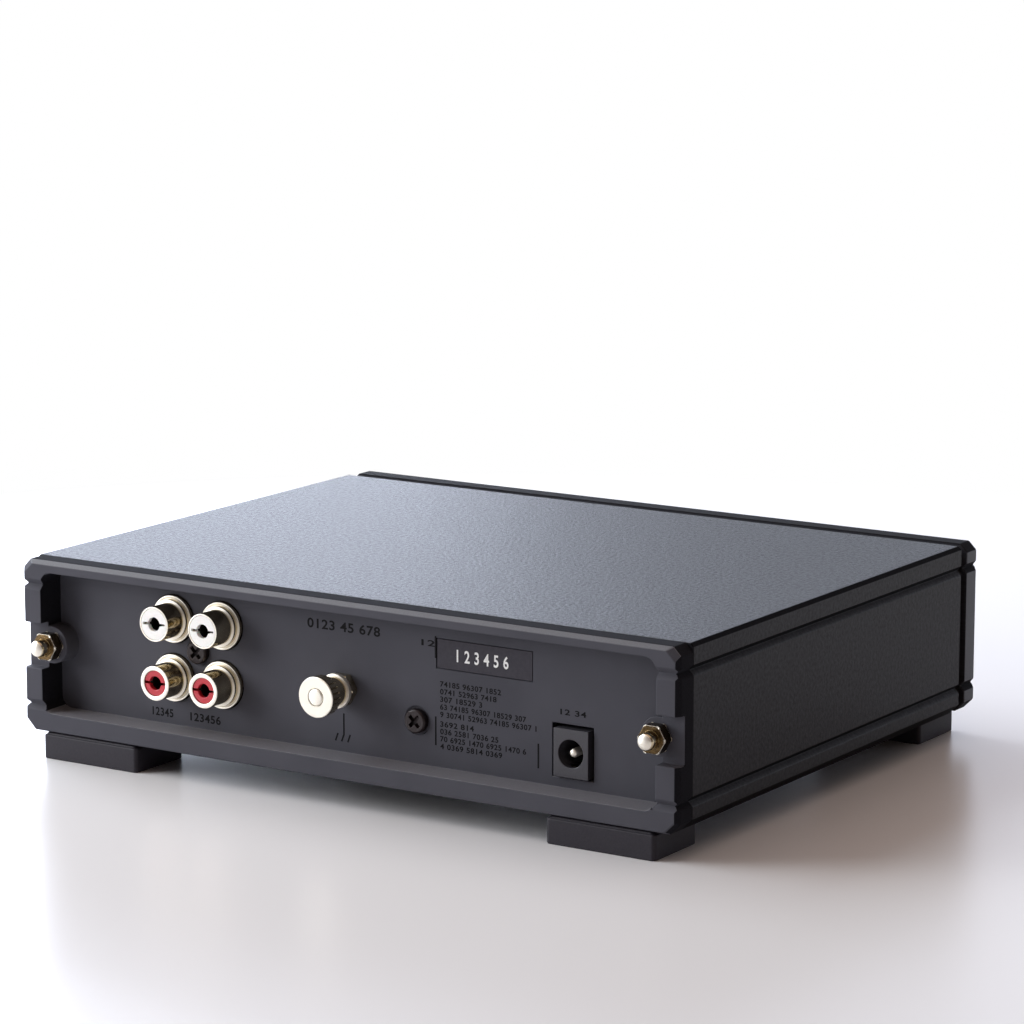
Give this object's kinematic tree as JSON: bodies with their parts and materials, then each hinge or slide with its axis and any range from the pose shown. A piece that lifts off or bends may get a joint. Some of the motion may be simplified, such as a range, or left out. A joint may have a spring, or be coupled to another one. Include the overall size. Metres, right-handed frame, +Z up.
{
  "type": "phono preamp",
  "caption": "Low desktop phono preamp with a black extruded sleeve, thick front, moulded rear panel with phono sockets, power inlet and ground terminal.",
  "frame": {"origin": "on the floor under the middle of the case", "axes": "+X across the case, to the left when seen from the rear; +Y towards the rear panel; +Z up"},
  "size_m": [0.18, 0.1494, 0.0477],
  "materials": {
    "black_textured_coat": "fine textured powder coat, satin",
    "black_anodised": "fine brushed and anodised",
    "moulded_panel": "fine spark-eroded texture, matt",
    "black_plastic": "moulded, satin",
    "foot_rubber": "matt moulded",
    "nickel": "bright nickel plate, turned",
    "brass": "turned, dull",
    "zinc_steel": "zinc plated",
    "black_steel": "black oxide, oiled",
    "white_insulator": "smooth moulded",
    "red_insulator": "smooth moulded",
    "label_sheet": "printed, satin",
    "green_board": "solder mask over glass fibre",
    "clear_pipe": "clear, polished",
    "green_wire": "extruded insulation",
    "capacitor_sleeve": "shrunk film sleeve",
    "coupling_sleeve": "shrunk film sleeve",
    "film_box": "moulded box",
    "chip_epoxy": "moulded epoxy",
    "resistor_lacquer": "dipped lacquer",
    "heatsink_black": "black anodised",
    "switch_white": "moulded nylon"
  },
  "bodies": {
    "case": {"sleeve": "black_textured_coat", "front_fascia": "black_anodised", "front_carrier": "black_plastic", "rear_panel": "moulded_panel", "tie_rod_left": "nickel", "tie_rod_right": "nickel", "tie_rod_nuts": "nickel", "fascia_inserts": "brass", "foot_front_left": "foot_rubber", "foot_front_right": "foot_rubber", "foot_rear_left": "foot_rubber", "foot_rear_right": "foot_rubber", "foot_screws": "zinc_steel", "rca_block": "black_plastic", "input_left_shell": "nickel", "input_right_shell": "nickel", "output_left_shell": "nickel", "output_right_shell": "nickel", "input_left_insulator": "white_insulator", "input_right_insulator": "red_insulator", "output_left_insulator": "white_insulator", "output_right_insulator": "red_insulator", "input_left_contact": "brass", "input_right_contact": "brass", "output_left_contact": "brass", "output_right_contact": "brass", "panel_screws": "black_steel", "number_label": "label_sheet", "ground_stud": "nickel", "ground_hex_nut": "nickel", "ground_inner_nut": "nickel", "ground_tag": "brass", "ground_wire": "green_wire", "dc_jack_body": "black_plastic", "dc_jack_pin": "nickel", "dc_jack_spring": "nickel", "main_board": "green_board", "board_bracket": "zinc_steel", "switch_body": "black_plastic", "led": "clear_pipe", "light_pipe": "clear_pipe", "power_capacitors": "capacitor_sleeve", "coupling_capacitors": "coupling_sleeve", "film_capacitors": "film_box", "op_amps": "chip_epoxy", "transistors": "chip_epoxy", "resistors": "resistor_lacquer", "rectifier_diodes": "chip_epoxy", "regulators": "chip_epoxy", "heatsinks": "heatsink_black", "heatsink_screws": "zinc_steel"},
    "ground_washer": {"ground_washer": "nickel"},
    "ground_nut": {"ground_thumb_nut": "nickel"},
    "button": {"power_button": "black_anodised", "button_plunger": "switch_white", "switch_slider": "switch_white", "switch_spring": "zinc_steel"}
  },
  "joints": [
    {"name": "washer_slide", "type": "slide", "parent": "case", "child": "ground_washer", "axis": [0, 1, 0], "range_m": [0, 0.0035]},
    {"name": "thumb_nut_turn", "type": "hinge", "parent": "ground_washer", "child": "ground_nut", "pos_m": [0.0024, 0.071, 0.0259], "axis": [0, 1, 0], "range_deg": [0, 1800]},
    {"name": "power_button_press", "type": "slide", "parent": "case", "child": "button", "axis": [0, 1, 0], "range_m": [0, 0.003], "stiffness_N_per_m": 400, "springref_m": -0.002}
  ],
  "couplings": [
    {"joint": "thumb_nut_turn", "follows": "washer_slide", "rad_per_m": 8976}
  ]
}
